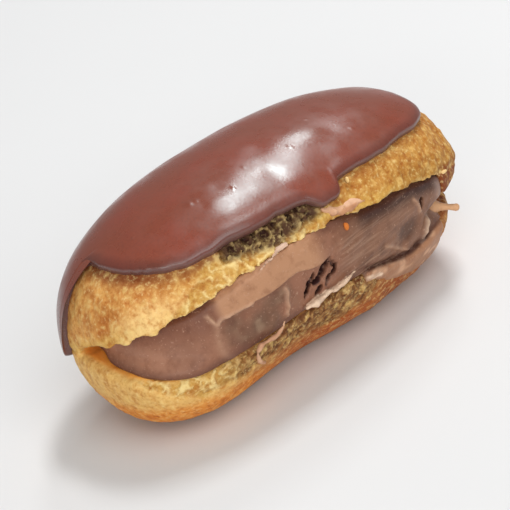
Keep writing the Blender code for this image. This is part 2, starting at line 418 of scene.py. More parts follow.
def thin_out(obj, triangles):
    """Collapses the edges that matter least until so many triangles are left."""
    modifier = obj.modifiers.new("Decimate", "DECIMATE")
    modifier.ratio = min(1.0, triangles / (2 * len(obj.data.polygons)))
    graph = bpy.context.evaluated_depsgraph_get()
    thinned = bpy.data.meshes.new_from_object(obj.evaluated_get(graph))
    obj.modifiers.clear()
    old, obj.data = obj.data, thinned
    bpy.data.meshes.remove(old)
    thinned.name = obj.name
    thinned.shade_smooth()


def mesh_points(obj):
    flat = np.zeros(len(obj.data.vertices) * 3)
    obj.data.vertices.foreach_get("co", flat)
    return from_floor(flat.reshape(-1, 3))


def paint(obj, **layers):
    """Stores colours (rows of three) or single values on the mesh's points."""
    for name, values in layers.items():
        kind, field = "FLOAT", "value"
        if values.ndim == 2:
            kind, field = "FLOAT_COLOR", "color"
            values = np.column_stack([values, np.ones(len(values))]).ravel()
        obj.data.attributes.new(name, kind, "POINT").data.foreach_set(field, values)


# ---- colours and materials


def shade(red, green, blue):
    """A colour given as it looks on a screen, 0 to 255, made linear."""
    value = np.array((red, green, blue)) / 255
    return np.where(value <= 0.04045, value / 12.92, ((value + 0.055) / 1.055) ** 2.4)


def mixed(base, colour, share):
    """Rows of colours, each moved towards another colour by its share."""
    return base + (colour - base) * share[:, None]


def layered(colour, *layers):
    """The colour with others over it in turn, each as (red, green, blue) and its share."""
    for over, share in layers:
        colour = mixed(colour, shade(*over), share)
    return colour


def add(tree, kind, inputs=None, **settings):
    """A shader node with its settings, its inputs set to values or joined to outputs."""
    made = tree.nodes.new("ShaderNode" + kind)
    for name, value in settings.items():
        setattr(made, name, value)
    for name, value in (inputs or {}).items():
        if isinstance(value, bpy.types.NodeSocket):
            tree.links.new(value, made.inputs[name])
        else:
            made.inputs[name].default_value = value
    return made


def painted(tree, name, kind="Fac"):
    """What paint stored under this name."""
    return add(tree, "Attribute", attribute_name=name).outputs[kind]


def maths(tree, operation, *values):
    return add(tree, "Math", dict(enumerate(values)), operation=operation).outputs[0]


def blank_material(name):
    material = bpy.data.materials.new(name)
    material.use_nodes = True
    return material, material.node_tree, material.node_tree.nodes["Principled BSDF"]


def grain(tree, size, detail=3.0, roughness=0.5):
    """Noise from 0 to 1 with lumps of about this size in millimetres."""
    place = add(tree, "TexCoord").outputs["Object"]
    values = {"Vector": place, "Scale": 1 / (size * MM), "Detail": detail, "Roughness": roughness}
    return add(tree, "TexNoise", values).outputs["Fac"]


def ramp(tree, value, low, high, start=0.0, end=1.0):
    """The value carried from low..high to start..end."""
    values = {"Value": value, "From Min": low, "From Max": high, "To Min": start, "To Max": end}
    return add(tree, "MapRange", values).outputs["Result"]


def tinted(tree, base, factor, colour, blend="MIX"):
    """The base colour with another over it, as far as the factor says."""
    inputs = {0: factor, 6: base, 7: colour}
    return add(tree, "Mix", inputs, data_type="RGBA", blend_type=blend).outputs[2]


def finish(tree, shader, colour, height, strength, depth, **settings):
    """Gives the shader its colour and a bump as deep as this in millimetres."""
    tree.links.new(colour, shader.inputs["Base Color"])
    values = {"Height": height, "Strength": strength, "Distance": depth * MM}
    bump = add(tree, "Bump", values, **settings)
    tree.links.new(bump.outputs["Normal"], shader.inputs["Normal"])


def choux_material():
    material, tree, shader = blank_material("baked_choux")
    tint, porous, mottle = painted(tree, "tint", "Color"), painted(tree, "porous"), painted(tree, "mottle")
    medium, fine = grain(tree, 1.9, 4.0, 0.6), grain(tree, 0.8, 4.0, 0.6)

    def spots(value, low, high, strength):
        return maths(tree, "MULTIPLY", ramp(tree, value, low, high, 0.0, strength), mottle)

    darker = tinted(tree, tint, spots(medium, 0.5, 0.66, 0.7), (0.68, 0.42, 0.2, 1), "MULTIPLY")
    golden = tinted(tree, darker, spots(medium, 0.47, 0.33, 0.5), (0.84, 0.58, 0.2, 1))
    speckled = tinted(tree, golden, spots(fine, 0.52, 0.68, 0.45), (0.64, 0.42, 0.22, 1), "MULTIPLY")
    pale = tinted(tree, speckled, spots(fine, 0.46, 0.3, 0.5), (0.88, 0.68, 0.3, 1))
    shader.inputs["Roughness"].default_value = 0.6
    shader.inputs["Specular IOR Level"].default_value = 0.2
    height = maths(tree, "MULTIPLY", maths(tree, "ADD", medium, fine), maths(tree, "ADD", porous, mottle))
    finish(tree, shader, pale, height, 0.6, 0.3, invert=True)
    return material


def cream_material():
    material, tree, shader = blank_material("chocolate_cream")
    tint, drawn = painted(tree, "tint", "Color"), painted(tree, "drawn")
    medium, fine = grain(tree, 2.2, 4.0, 0.6), grain(tree, 0.5, 3.0, 0.6)
    place = add(tree, "TexCoord").outputs["Object"]
    turned = {"Vector": place, "Rotation": (0, math.radians(14), 0), "Scale": (0.07, 0.3, 1.0)}
    stretched = add(tree, "Mapping", turned).outputs["Vector"]
    values = {"Vector": stretched, "Scale": 1 / (0.62 * MM), "Detail": 3.0, "Roughness": 0.6}
    lines = add(tree, "TexNoise", values).outputs["Fac"]
    darker = tinted(tree, tint, ramp(tree, medium, 0.48, 0.72, 0.0, 0.6), (0.6, 0.5, 0.45, 1), "MULTIPLY")
    flecked = tinted(tree, darker, ramp(tree, fine, 0.6, 0.75, 0.0, 0.5), (*shade(196, 160, 136), 1))
    share = maths(tree, "MULTIPLY", ramp(tree, lines, 0.48, 0.72, 0.0, 0.7), drawn)
    lined = tinted(tree, flecked, share, (*shade(164, 130, 106), 1))
    shader.inputs["Roughness"].default_value = 0.45
    shader.inputs["Specular IOR Level"].default_value = 0.28
    height = maths(tree, "MULTIPLY_ADD", maths(tree, "MULTIPLY", lines, drawn), 2.0, fine)
    finish(tree, shader, lined, height, 0.4, 0.15)
    return material


def icing_material():
    material, tree, shader = blank_material("chocolate_icing")
    tint = painted(tree, "tint", "Color")
    broad, fine = grain(tree, 9.0, 3.0), grain(tree, 0.55, 3.0)
    redder = tinted(tree, tint, ramp(tree, broad, 0.4, 0.65), (1.08, 0.92, 0.88, 1), "MULTIPLY")
    grainy = tinted(tree, redder, ramp(tree, fine, 0.45, 0.75, 0.0, 0.5), (0.72, 0.7, 0.7, 1), "MULTIPLY")
    uneven = ramp(tree, grain(tree, 4.0, 4.0), 0.35, 0.65, 0.24, 0.37)
    tree.links.new(uneven, shader.inputs["Roughness"])
    shader.inputs["Specular IOR Level"].default_value = 0.9
    shader.inputs["Specular Tint"].default_value = (0.76, 0.98, 1.0, 1)
    finish(tree, shader, grainy, fine, 0.3, 0.05)
    return material


# ---- choux bun

# How far open crumb reaches over the lid's rim, and under the base's rim, as (x, reach)
LID_CRUMB = (
    (-48, 0.5), (-38, 1.0), (-33, 2.6), (-28, 5.0), (-22, 6.2), (-6, 4.6), (0, 2.2), (5, 1.2), (48, 0.7),
)
BASE_CRUMB = (
    (-48, 0.4), (-43, 1.2), (-40, 3.4), (-34, 6.0), (-26, 6.2), (-16, 6.4), (-4, 7.5), (6, 7.5), (9.5, 5.0),
    (11.5, 0.5), (48, 0.4),
)

# Places on the front, as (x, height over the bun's middle) and then both half sizes of an oval.
# The pocket is where the lid's crust has torn off under the icing.
POCKET_ENDS = (-22.0, 2.0)
POCKET_LOW = ((-24, 13.0), (-19, 12.2), (-15, 11.8), (-9, 11.0), (-4, 11.2), (0, 11.8), (4, 12.8))
POCKET_HOLES = (  # and radius
    (-11.8, 13.3, 1.35), (-13.5, 14.0, 0.8), (-15.3, 13.9, 0.8), (-5.2, 13.4, 1.1), (-2.7, 13.8, 0.8),
    (-1.2, 12.6, 0.8), (-8.7, 12.1, 0.7), (-5.4, 11.9, 0.6), (-14.0, 12.1, 0.65), (-18.7, 13.2, 1.1),
    (-21.6, 13.2, 0.7), (-8.9, 13.8, 0.9), (-3.4, 12.4, 0.8),
)
BROWNED_END = (17.0, -13.5, 8.0, 4.5)
BROWNED_LID = (-30.0, 11.5, 7.0, 3.0)


def rim_ragged(points, seed):
    """How far the torn rims stray up or down."""
    steps = 0.55 * noise(points, 2.3, seed) + 0.35 * np.abs(noise(points, 1.0, seed + 1))
    return 0.5 * noise(points, 5.5, seed + 2) + steps - 0.1


def open_crumb(points):
    """Torn crumb: 1 on its thin crooked walls, falling to 0 in the cells between them."""
    x, y, z = (points + 0.8 * drift(points, 2.2, 40)).T
    bent = np.column_stack([0.5 * (0.8 * x + 0.6 * z), y, 1.1 * (0.8 * z - 0.6 * x)])
    cells = fade(np.abs(noise(bent, 1.15, 43)), 0.02, 0.4)
    small = fade(np.abs(noise(bent, 0.6, 44)), 0.0, 0.45)
    return 1 - 0.65 * cells - 0.35 * small


def pocket_mask(points):
    """The lid's front, under the icing, where its crust has torn off and open crumb shows."""
    x, y, z = points.T
    wobble = 0.8 * noise(points, 2.0, 31)
    along = fade(x + wobble, POCKET_ENDS[0] - 1, POCKET_ENDS[0] + 2)
    along *= fade(-x + wobble, -POCKET_ENDS[1] - 1, -POCKET_ENDS[1] + 2)
    return along * fade(z + 0.6 * wobble - through(POCKET_LOW, x), -0.5, 0.7) * fade(-y, 8, 12)


def pocket_holes(points, mask):
    """Depth of the deep holes in the torn place under the icing."""
    depth = np.zeros(len(points))
    chosen = np.flatnonzero(mask > 0.02)
    some = points[chosen]
    x, _, z = (some + 0.45 * drift(some, 1.4, 45)).T
    for middle_x, middle_z, radius in POCKET_HOLES:
        away = np.hypot(x - middle_x, (z - middle_z) / 0.8) / radius
        depth[chosen] = np.maximum(depth[chosen], 2.1 * radius * (1 - fade(away, 0.3, 1.0)))
    return depth * mask


def torn_mask(points):
    """The open crumb just over the lid's rim and under the base's."""
    x, y, z = points.T
    over_rim = z - slit_height(x, y, 1)
    wobble = 0.9 * noise(points, 2.2, 35)
    lid = fade(through(LID_CRUMB, x) - over_rim + wobble, 0.0, 1.2) * fade(over_rim, -0.6, 0.1)
    under_rim = slit_height(x, y, -1) - z
    wobble = 1.1 * noise(points, 2.4, 33)
    base = fade(through(BASE_CRUMB, x) - under_rim + wobble, 0.0, 1.4)
    return np.maximum(lid, base * fade(under_rim, -1.2, -0.2) * fade(-y, 6, 12))


def crust_relief(points):
    """Low lumps and wrinkles of the baked crust, rougher towards the +X end."""
    rough = 0.55 + 0.75 * fade(points[:, 0], -2, 20)
    wrinkles = 0.5 - np.abs(noise(points, 1.9, 14))
    relief = 0.24 * noise(points, 6.0, 11) + 0.14 * noise(points, 2.8, 12)
    return relief + rough * (0.26 * wrinkles + 0.12 * noise(points, 1.0, 13))


def bun_form(points):
    """Heights over the bun's skin and past its ragged slit's faces, and how round their edge is."""
    x, y, z = points.T
    skin = hull_height(points)
    lid, base = slit_height(x, y, 1), slit_height(x, y, -1)
    close = np.flatnonzero(np.abs(skin) < 4.5)
    at_skin = hump(np.minimum(skin[close], 0.0), 0.0, 3.0)
    lid[close] += at_skin * rim_ragged(points[close], 21)
    base[close] -= at_skin * 0.6 * rim_ragged(points[close], 26)
    slit = np.minimum(np.minimum(lid - z, z - base), np.minimum(hinge_y(x) - y, SLIT_END - x))
    return skin, slit, 0.5 + 2.2 * fade(-z, -1.0, 3.0)


def bun_field(points):
    """Distance-like field of the whole bun, negative inside."""
    skin, slit, rounding = bun_form(points)
    near = np.flatnonzero(np.abs(skin) < 3.2)
    close = points[near]
    bare = fade(icing_edge_height(*close[:, :2].T) - close[:, 2], -1.0, 0.5)
    outside = skin.copy()
    outside[near] -= crust_relief(close) * bare * fade(close[:, 2], -19.5, -16.0)
    whole = smooth_max(outside, slit, rounding)
    at_skin = hump(np.minimum(skin[near], 0.0), 0.0, 3.0)
    pocket = pocket_mask(close) * at_skin
    torn = torn_mask(close) * at_skin
    cells = 1 - open_crumb(close)
    whole[near] += 0.5 * pocket + (0.45 * torn + 0.75 * pocket) * cells + pocket_holes(close, pocket)
    return whole


def bun_colours(points):
    """The bun's colours, how porous its crumb is and how mottled its crust is."""
    x, y, z = points.T
    skin = hull_height(points)
    over_lid = z - slit_height(x, y, 1)
    under_base = slit_height(x, y, -1) - z
    under_icing = icing_edge_height(x, y) - z
    on_lid = fade(over_lid, -1.5, -0.5)
    on_base = 1 - on_lid
    front = fade(-y, 4, 12)
    walls = open_crumb(points)
    yellow = on_lid * front * fade(x, -38, -27) * fade(-x, -12, 0)
    near_icing = 0.8 * (1 - fade(under_icing, 0.0, 2.6)) * on_lid * (1 - 0.6 * fade(x, -2, 6))
    browned = oval(points, BROWNED_END)
    colour = layered(
        shade(224, 166, 92),
        ((192, 122, 54), 0.7 * fade(noise(points, 6.0, 51), -0.2, 0.6)),
        ((178, 100, 40), 0.5 * fade(noise(points, 2.4, 52), 0.0, 0.7)),
        ((206, 166, 80), 0.85 * yellow),
        ((232, 208, 140), 0.5 * yellow * fade(walls, 0.5, 0.9)),
        ((182, 128, 54), 0.75 * on_lid * fade(x, -2, 10)),
        ((116, 52, 34), near_icing),
        ((212, 170, 84), 0.7 * (1 - fade(over_lid, 0.5, 3.5)) * on_lid),
        ((166, 112, 44), 0.7 * on_lid * fade(x, 14, 24) * (1 - fade(over_lid, 2.5, 5.5))),
        ((228, 184, 108), 0.8 * on_base * fade(-x, 18, 30)),
        ((190, 116, 52), 0.5 * on_lid * front * oval(points, BROWNED_LID, 2)),
        ((242, 204, 136), 0.8 * on_lid * front * fade(-x, 30, 39) * (1 - fade(over_lid, 3, 7))),
        ((160, 108, 62), 0.85 * on_base * front * fade(x, -30, -16)),
        ((150, 76, 36), 0.85 * browned * front),
    )
    rusty = mixed(shade(226, 140, 50), shade(186, 98, 36), fade(x, -26, -3))
    colour = mixed(colour, rusty, 0.9 * fade(-z + 0.03 * np.abs(x), 11, 15) * (1 - 0.85 * browned))
    strip = fade(x, 30.5, 32.5) * fade(-over_lid, -1.5, 0.0) * fade(-under_base, -1.5, 0.0)
    pocket = pocket_mask(points)
    inner = fade(-skin, 1.0, 2.4) * (1 - pocket)
    streaks = noise(points * (0.12, 0.5, 1), 0.9, 54)
    colour = layered(
        colour,
        ((166, 98, 46), fade(-z, 18, 20.5)),
        ((132, 68, 30), 0.95 * strip),
        ((246, 172, 78), inner),
        ((176, 104, 44), 0.7 * inner * fade(streaks, -0.1, 0.5)),
        ((120, 66, 32), inner * fade(x, 30, 34)),
    )
    torn = torn_mask(points) * (1 - inner)
    stained = on_base * fade(x, -35, -21)
    # Torn crumb: pale walls and darker cells, partly the crumb's colour and stain, partly painted shade in
    # the cells
    pale = mixed(shade(236, 208, 142), shade(172, 128, 76), stained)
    deep = mixed(shade(202, 154, 76), shade(116, 74, 40), stained)
    colour = mixed(colour, mixed(deep, pale, fade(walls, 0.25, 0.8)), torn)
    # The pocket's cells are partly darker crumb, partly painted shade in the recess
    cells = mixed(shade(84, 56, 36), shade(172, 146, 96), fade(walls, 0.4, 0.9))
    colour = mixed(colour, cells, pocket)
    # painted shade: darker the deeper the holes
    colour = mixed(colour, shade(62, 34, 26), np.clip(pocket_holes(points, pocket) / 1.3, 0, 1))
    return colour, np.clip(pocket + torn, 0, 1), 1 - 0.75 * np.maximum(inner, 0.6 * pocket)


def make_bun():
    reach = np.array((HALF_LENGTH, HALF_WIDTH_LID, UNDERSIDE)) + 1.5
    points, quads = surface_net(bun_field, -reach, reach, BUN_GRID)
    bun = piece("baked_bun", points, quads.tolist(), choux_material())
    thin_out(bun, BUN_TRIANGLES)
    tint, porous, mottle = bun_colours(mesh_points(bun))
    paint(bun, tint=tint, porous=porous, mottle=mottle)
    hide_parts("choux_bun")


# ---- cream

# Runs and places on the front
SMEAR_EDGE = (
    (-30, 6.5), (-27.3, 4.0), (-24.2, 4.1), (-20.5, 4.3), (-16, 4.3), (-13.2, 4.6), (-9.4, 4.9),
    (-6, 3.8), (-3, 3.6), (2, 6.0),
)
TICK = ((-29.7, 5.5), (-28.7, 3.4), (-27.4, 4.0), (-24.2, 4.2), (-21, 4.3))
RING = ((-28.9, 2.6), (-29.4, 0.0), (-29.0, -3.0), (-27.2, -5.0))
DUG_EDGE = ((-26.0, 3.2), (-26.6, 1.0), (-26.4, -1.4), (-24.0, -3.4))
UPRIGHT = ((-13.2, 3.4), (-13.0, 2.4), (-13.5, 0.9), (-13.5, -0.8), (-14.0, -2.4))
THREADS = (
    ((-4.6, 0.6), (-4.0, -0.4), (-3.6, -2.0)),
    ((-2.4, 1.6), (-3.4, 0.8), (-4.6, 0.4), (-6.4, 0.2)),
)
CROSS_LINE = ((13.5, -2.6), (15.6, -4.1), (17.6, -5.8), (19.9, -7.4))
PIT_LIP = ((23.2, 2.6), (23.7, 1.8), (24.3, 0.6), (24.6, -0.8))
KNOBS = ((26.8, -4.3), (26.6, -5.2), (25.6, -6.2), (25.2, -7.3), (24.7, -8.4))
RIDGES = (  # run, half width and height
    (TICK, 0.32, 0.45), (RING, 0.8, 0.2), (DUG_EDGE, 0.9, -0.15), (UPRIGHT, 0.36, 0.5),
    (CROSS_LINE, 0.4, 0.35), (PIT_LIP, 0.35, 0.5), (KNOBS, 0.7, 0.8),
)
PALE_RUNS = (  # run, half width and strength
    (TICK, 0.4, 0.9), (RING, 0.8, 0.3), (UPRIGHT, 0.45, 0.7), (CROSS_LINE, 0.45, 0.6),
    (PIT_LIP, 0.45, 0.8),
)
HOLES_WAY = (0.76, 0.65)  # the way they are drawn out
HOLES = (  # and radius
    (-2.1, 2.9, 0.95), (-3.9, 2.2, 1.25), (-0.8, 0.9, 1.1), (-2.9, -0.4, 1.0), (-6.4, 2.1, 0.8),
    (-7.8, 1.0, 1.2), (-5.5, -1.4, 0.9), (-8.6, -0.6, 0.9), (-5.7, 0.8, 0.95), (-1.3, 2.1, 0.55),
)
PIT = (25.4, 0.5, 0.6, 1.5)
LUMPY_PLACE = (-19.5, 0.0, 7.6, 3.9)
HOLLOW = (20.7, -3.1, 2.9, 2.2)
# Painted sheen: a lighter oval on the cream towards its -X end
SHEEN_TIP = (-40.0, -1.5, 5.0, 2.4)
KNOLLS = (  # and radius
    (-17.6, 0.1, 0.55), (-13.5, -0.7, 0.5), (-14.0, -2.2, 0.5), (26.8, -4.9, 0.75), (25.5, -6.3, 0.7),
    (24.9, -8.2, 0.6), (-6.8, 8.3, 0.4), (21.5, -7.9, 0.5), (-10.4, -3.2, 0.5),
)

# Strands on the surface: run, radii along it, height of its middle over the bun's surface, colour
STRANDS = (
    (
        ((-15.8, -2.3), (-17.1, -4.2), (-19.6, -4.7), (-21.8, -4.6), (-22.6, -6.2), (-21.8, -8.8),
         (-20.4, -10.2)),
        (0.2, 0.35, 0.42, 0.5, 0.4, 0.34, 0.26), 0.12, (214, 168, 134),
    ),
    (
        ((-9.4, -3.3), (-8.1, -3.3), (-6.3, -3.2), (-3.6, -2.9), (-1.8, -3.6), (0, -3.5), (2, -2.9),
         (3.9, -2.2)),
        (0.45, 0.9, 0.7, 0.55, 0.65, 0.6, 0.5, 0.25), -0.3, (226, 196, 168),
    ),
    (((-17, 9.3), (-14.4, 10.2), (-11.8, 10.9), (-9.7, 11)), (0.1, 0.22, 0.3, 0.45), -0.15, (208, 174, 150)),
    (((1.4, 12.3), (2.4, 11.6), (4.4, 11.2), (6.2, 11.3)), (0.5, 0.85, 0.6, 0.35), -0.15, (214, 166, 130)),
    (((2.4, 11.0), (5.2, 10.2), (8.0, 10.2), (10.7, 9.5)), (0.35, 0.6, 0.65, 0.3), -0.25, (196, 142, 104)),
    (((5.6, 11.1), (8.0, 11.0), (9.8, 10.2)), (0.3, 0.42, 0.25), -0.1, (226, 180, 146)),
    (((7.2, -6.2), (8.6, -6.5), (10.6, -7.3)), (0.35, 0.5, 0.3), 0.15, (232, 202, 174)),
)
DRIP = ((32.6, -13.8, -6.0), (36.6, -16.2, -7.7))  # root and tip of the blob at the +X end
DRIP_RADII = (1.8, 0.95, 0.6, 0.75)  # at its root, two places on the way and its tip
FILM_LOW = (
    (6, -7.0), (9.6, -8.2), (13, -10.4), (17.3, -12.6), (21, -14.2), (24.7, -15.6), (29, -15.9),
    (36, -16.5),
)
FILM_ENDS = (6.6, 31.5)


def beside(points, run, half):
    """1 on a run along the front, falling to 0 past its half width."""
    away, _ = run_distance(points[:, 0], points[:, 2], smooth_run(run))
    return hump(away, 0.0, half)


def smear_mask(points):
    """The flat pink smear right under the lid."""
    x, y, z = points.T
    over = z - through(SMEAR_EDGE, x) + 0.25 * noise(points, 1.6, 64)
    return fade(over, -0.15, 0.35) * fade(x, -28.5, -26.5) * fade(-x, -1.0, 5.0) * fade(-y, 8, 14)


def holes_depth(points):
    """Depth of the cluster of long narrow holes and of the pit near the +X end."""
    depth = np.zeros(len(points))
    x, _, z = (points + 0.5 * drift(points, 1.1, 65)).T
    way_x, way_z = HOLES_WAY
    for middle_x, middle_z, radius in HOLES:
        along = (x - middle_x) * way_x + (z - middle_z) * way_z
        across = (z - middle_z) * way_x - (x - middle_x) * way_z
        away = np.hypot(along / 1.35, across / 0.8) / radius
        depth = np.maximum(depth, 2.3 * radius * (1 - fade(away, 0.4, 1.05)))
    away = np.hypot((x - PIT[0]) / PIT[2], (z - PIT[1]) / PIT[3])
    depth = np.maximum(depth, 1.6 * (1 - fade(away, 0.4, 1.0)))
    return depth * fade(-points[:, 1], 10, 14)


def drawn_mask(points):
    """The right half, where the knife drew fine lines."""
    x, _, z = points.T
    across = fade(x, -2, 4) * fade(-x, -26, -19) * (1 - 0.4 * fade(x, 8, 15))
    return across * (1 - oval(points, HOLLOW)) * fade(-z, -7.0, -4.0)


def cream_relief(points):
    """How far the cream's front stands out (positive) or is dug in."""
    x, y, z = points.T
    relief = 0.25 * noise(points, 7.0, 61) + 0.08 * noise(points, 2.2, 62)
    relief += 0.8 * fade(-x, 28, 35) * fade(-z, -2, 3)
    relief += 0.4 * fade(x, 28, 33)
    under_lid = slit_height(x, y, 1) - z
    relief -= 0.7 * (1 - fade(under_lid, 0.2, 1.3)) * np.maximum(fade(-x, 14, 18), fade(x, 3, 6))
    over_base = z - slit_height(x, y, -1)
    relief -= 0.5 * hump(over_base, 0.4, 0.6) * fade(x, 5, 9) * fade(-x, -29, -24)
    smear = smear_mask(points)
    relief += 0.5 * smear
    lumpy = oval(points, LUMPY_PLACE) * (1 - smear)
    relief += lumpy * (0.34 * noise(points, 2.6, 69) + 0.16 * noise(points, 1.2, 70) - 0.4)
    rough = fade(x, 12, 17) * fade(-x, -32, -27) * fade(-z, -3, 1)
    relief += rough * (0.3 * noise(points, 2.2, 75) + 0.14 * noise(points, 1.1, 76))
    relief -= 0.7 * oval(points, HOLLOW)
    across = z - 0.36 * x + 0.006 * x**2
    broad = noise(np.column_stack([x / 20, 0 * x, across / 1.3]), 1.0, 68)
    relief += 0.2 * broad * drawn_mask(points)
    for run, half, height in RIDGES:
        relief += height * beside(points, run, half)
    for middle_x, middle_z, radius in KNOLLS:
        away = (x - middle_x) ** 2 + (z - middle_z) ** 2
        relief += 0.7 * radius * np.exp(-(away / radius**2))
    relief -= holes_depth(points)
    for run in THREADS:
        relief += beside(points, run, 0.3) * np.maximum(0.1 - relief, 0.0)
    end_top = fade(-x, 30, 36) * np.maximum(fade(z, -4, -1), fade(y, -1, 5))
    return relief * fade(-y, 4, 11) - 1.9 * end_top


def strand_fields(points, height):
    """Distance-like fields of the strands that lie on the surface, one for each."""
    fields = []
    for run, radii, level, _ in STRANDS:
        away, share = run_distance(points[:, 0], points[:, 2], smooth_run(run))
        radius = np.interp(share, np.linspace(0, 1, len(radii)), radii)
        radius = radius * (1 + 0.5 * noise(points, 1.2, 82)) + 0.12 * noise(points, 0.7, 83)
        fields.append(np.hypot(away, height - level) - radius)
    return fields


def drip_field(points):
    """The small tapered blob that stands out at the +X end."""
    root, tip = np.array(DRIP)
    leg = tip - root
    share = np.clip((points - root) @ leg / (leg @ leg), 0.0, 1.0)
    radius = np.interp(share, (0, 0.3, 0.7, 1), DRIP_RADII)
    away = np.linalg.norm(points - root - share[:, None] * leg, axis=1)
    return away - radius - 0.1 * noise(points, 1.1, 83)


def film_thickness(points):
    """Thickness of the smear on the crust below the cream, and below zero where there is none."""
    x, y, z = points.T
    wobble = 0.5 * noise(points, 3.0, 77) + 0.3 * noise(points, 1.3, 78)
    inside = np.minimum(z - through(FILM_LOW, x) + wobble, x - FILM_ENDS[0] + 0.6 * wobble)
    inside = np.minimum(inside, FILM_ENDS[1] - x + wobble)
    film = 1.15 * fade(inside, -0.7, 0.9) - 0.7 + 0.12 * noise(points, 2.5, 79)
    return np.where((y < -6) & (z < -1), film, -1.0)


def cream_field(points):
    """Distance-like field of the cream with its strands, blob and film, negative inside."""
    x, y, z = points.T
    low, high = (end / (HALF_LENGTH - CREAM_SET_BACK) for end in CREAM_ENDS)
    stretched = np.column_stack([x / np.where(x > 0, high, -low), y, z])
    front = hull_height(stretched) + CREAM_SET_BACK
    lid = slit_height(x, y, 1) + CREAM_BITE
    base = slit_height(x, y, -1) - CREAM_BITE
    between = np.maximum(np.maximum(z - lid, base - z), y - hinge_y(x) + HINGE_OPENING)
    between = np.maximum(between, x - SLIT_END - CREAM_BITE)
    near = np.flatnonzero((np.abs(front) < 4.0) & (between < 2.0))
    front[near] -= cream_relief(points[near])
    whole = smooth_max(front, between, 0.5)
    skin = hull_height(points)
    by_skin = np.flatnonzero((np.abs(skin) < 2.5) & (y < -5))
    close = points[by_skin]
    added = np.min([*strand_fields(close, skin[by_skin]), drip_field(close)], axis=0)
    whole[by_skin] = np.minimum(whole[by_skin], added)
    film_place = np.flatnonzero((np.abs(skin) < 2.5) & (x > 4) & (x < 34) & (z < 0) & (y < -6))
    close = points[film_place]
    form = smooth_max(*bun_form(close))
    film = np.maximum(form - film_thickness(close), -form - 0.5)
    whole[film_place] = np.minimum(whole[film_place], film)
    return whole


def cream_colours(points):
    """The cream's colours, and where the knife drew lines."""
    x, y, z = points.T
    under_lid = slit_height(x, y, 1) - z
    over_base = z - slit_height(x, y, -1)
    lumpy = oval(points, LUMPY_PLACE) * fade(noise(points, 3.2, 87), -0.6, 0.25)
    right = fade(x, -2, 8)
    smear = smear_mask(points)
    # Painted shadow along the crease under the cream's bulge, just over the base's rim
    crease_shadow = 0.7 * hump(over_base, 0.4, 0.7) * fade(x, 5, 9) * fade(-x, -31, -25)
    colour = layered(
        shade(144, 98, 75),
        ((122, 79, 59), 0.8 * fade(noise(points, 5.0, 81), -0.2, 0.7)),
        ((104, 76, 58), 0.85 * lumpy),
        ((150, 122, 98), 0.6 * lumpy * fade(noise(points, 1.7, 84), 0, 0.5)),
        # painted sheen: lighter towards the cream's -X end
        ((176, 130, 106), 0.7 * oval(points, SHEEN_TIP, 2)),
        # painted shade: darker at the top near the -X end, under the lid
        ((112, 68, 50), 0.65 * fade(z, 0, 4) * fade(-x, 26, 30)),
        ((130, 91, 69), 0.9 * right),
        ((94, 62, 45), 0.5 * right * fade(noise(points, 3.0, 86), 0.0, 0.6)),
        # painted shadow under the lid on the right half
        ((48, 22, 16), 0.95 * right * fade(x, 5, 11) * (1 - fade(under_lid, 1.2, 5.0))),
        # painted shade: darker in the hollow
        ((84, 58, 46), 0.8 * oval(points, HOLLOW)),
        # painted highlight: a pale grey band towards the +X end
        ((168, 142, 130), 0.8 * fade(x, 29.0, 32.5) * fade(z, -9, -6)),
        ((178, 131, 98), smear * (1 - 0.85 * fade(x, -6, 0))),
        *(((190, 150, 122), share * beside(points, run, half)) for run, half, share in PALE_RUNS),
        ((212, 182, 156), 0.9 * beside(points, KNOBS, 0.6)),
        # painted shade along the dug-in line
        ((84, 52, 44), 0.15 * beside(points, DUG_EDGE, 0.8)),
        # painted shade: darker the deeper the holes and the pit
        ((58, 32, 30), np.clip(holes_depth(points) / 1.1, 0, 1)),
        # painted shade where the cream meets the lid and the base
        ((92, 54, 42), 0.65 * (1 - fade(np.minimum(under_lid, over_base), 0.1, 2.4)) * (1 - smear)),
        ((64, 36, 28), crease_shadow),
    )
    skin = hull_height(points)
    on_crust = fade(skin, -0.8, -0.3) * fade(-over_base, -0.2, 0.5) * fade(x, 4, 6)
    streaks = noise(points * (0.5, 1, 1), 1.3, 85)
    film = mixed(shade(166, 118, 86), shade(204, 158, 124), fade(streaks, 0, 0.6))
    colour = mixed(colour, film, on_crust)
    uneven = 0.5 * fade(streaks, -0.1, 0.6)
    for field, (*_, strand) in zip(strand_fields(points, skin), STRANDS):
        patchy = mixed(shade(*strand), shade(170, 112, 76), uneven)
        colour = mixed(colour, patchy, 1 - fade(field, 0.05, 0.35))
    colour = mixed(colour, shade(208, 160, 118), 1 - fade(drip_field(points), 0.1, 0.6))
    return colour, drawn_mask(points)


def make_cream():
    low = (CREAM_ENDS[0] - 1.5, -HALF_WIDTH_LID - 1.5, -18.0)
    high = (CREAM_ENDS[1] + 1.5, HINGE_DEPTH + 1.5, 17.0)
    points, quads = surface_net(cream_field, low, high, CREAM_GRID)
    cream = piece("soft_cream", points, quads.tolist(), cream_material())
    thin_out(cream, CREAM_TRIANGLES)
    tint, drawn = cream_colours(mesh_points(cream))
    paint(cream, tint=tint, drawn=drawn)
    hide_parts("cream_filling")


# ---- crumbs

# Places on the bun, height over its surface, half sizes along X, across and up, and colour
CRUMBS = (
    ((4.4, -21.7, 7.3), -0.75, (0.55, 0.5, 0.75), (204, 116, 48)),
    ((9.2, -18.3, 13.6), 0.9, (0.3, 0.4, 0.75), (232, 196, 132)),
    ((10.0, -18.2, 13.6), 0.6, (0.3, 0.35, 0.4), (206, 154, 84)),
    ((33.2, -17.8, 2.5), 0.2, (0.8, 0.4, 0.35), (226, 192, 134)),
)


